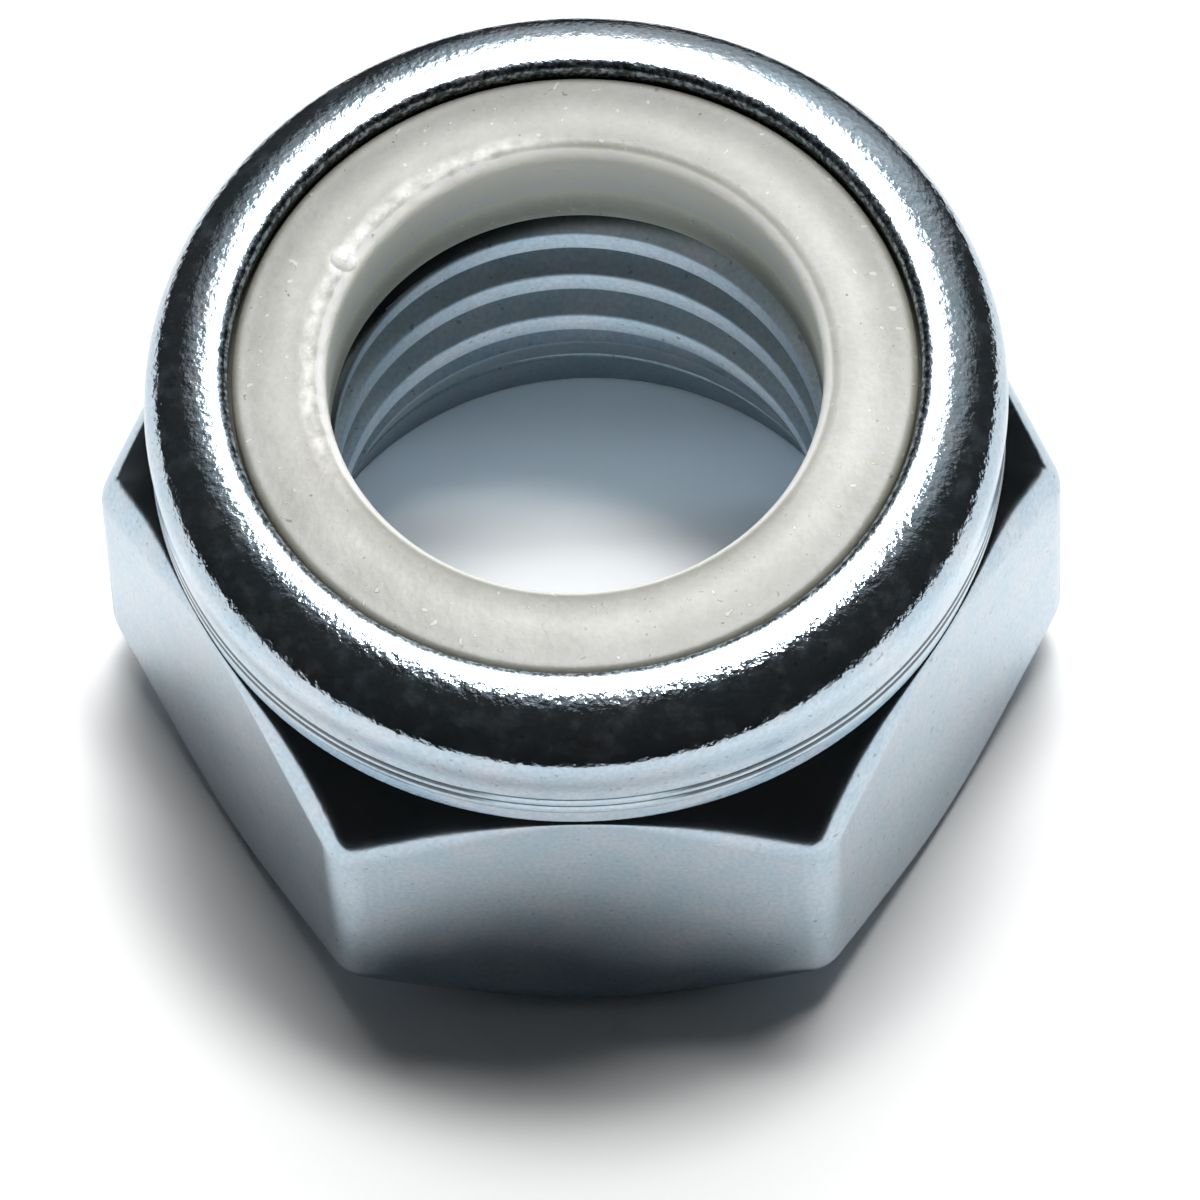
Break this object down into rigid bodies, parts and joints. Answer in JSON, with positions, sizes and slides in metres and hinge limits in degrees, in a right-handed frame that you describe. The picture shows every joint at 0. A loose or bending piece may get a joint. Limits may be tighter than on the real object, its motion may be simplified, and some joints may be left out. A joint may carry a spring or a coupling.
{
  "type": "nylon insert lock nut",
  "caption": "Hexagon lock nut with a round collar crimped over a nylon ring that grips the bolt's thread above the nut's own.",
  "frame": {"origin": "centre of the bearing face, on the bolt axis", "axes": "+Z along the bolt axis towards the nylon end; one flat of the hexagon faces -Y and two corners lie on the X axis"},
  "size_m": [0.0206, 0.0182, 0.012],
  "materials": {
    "zinc_plated_steel": "bright blue-white zinc plating, satin with mirror-like curved parts",
    "natural_nylon": "moulded natural nylon, faintly speckled"
  },
  "bodies": {
    "root": {"nut_body": "zinc_plated_steel", "insert_ring": "natural_nylon"}
  },
  "joints": []
}
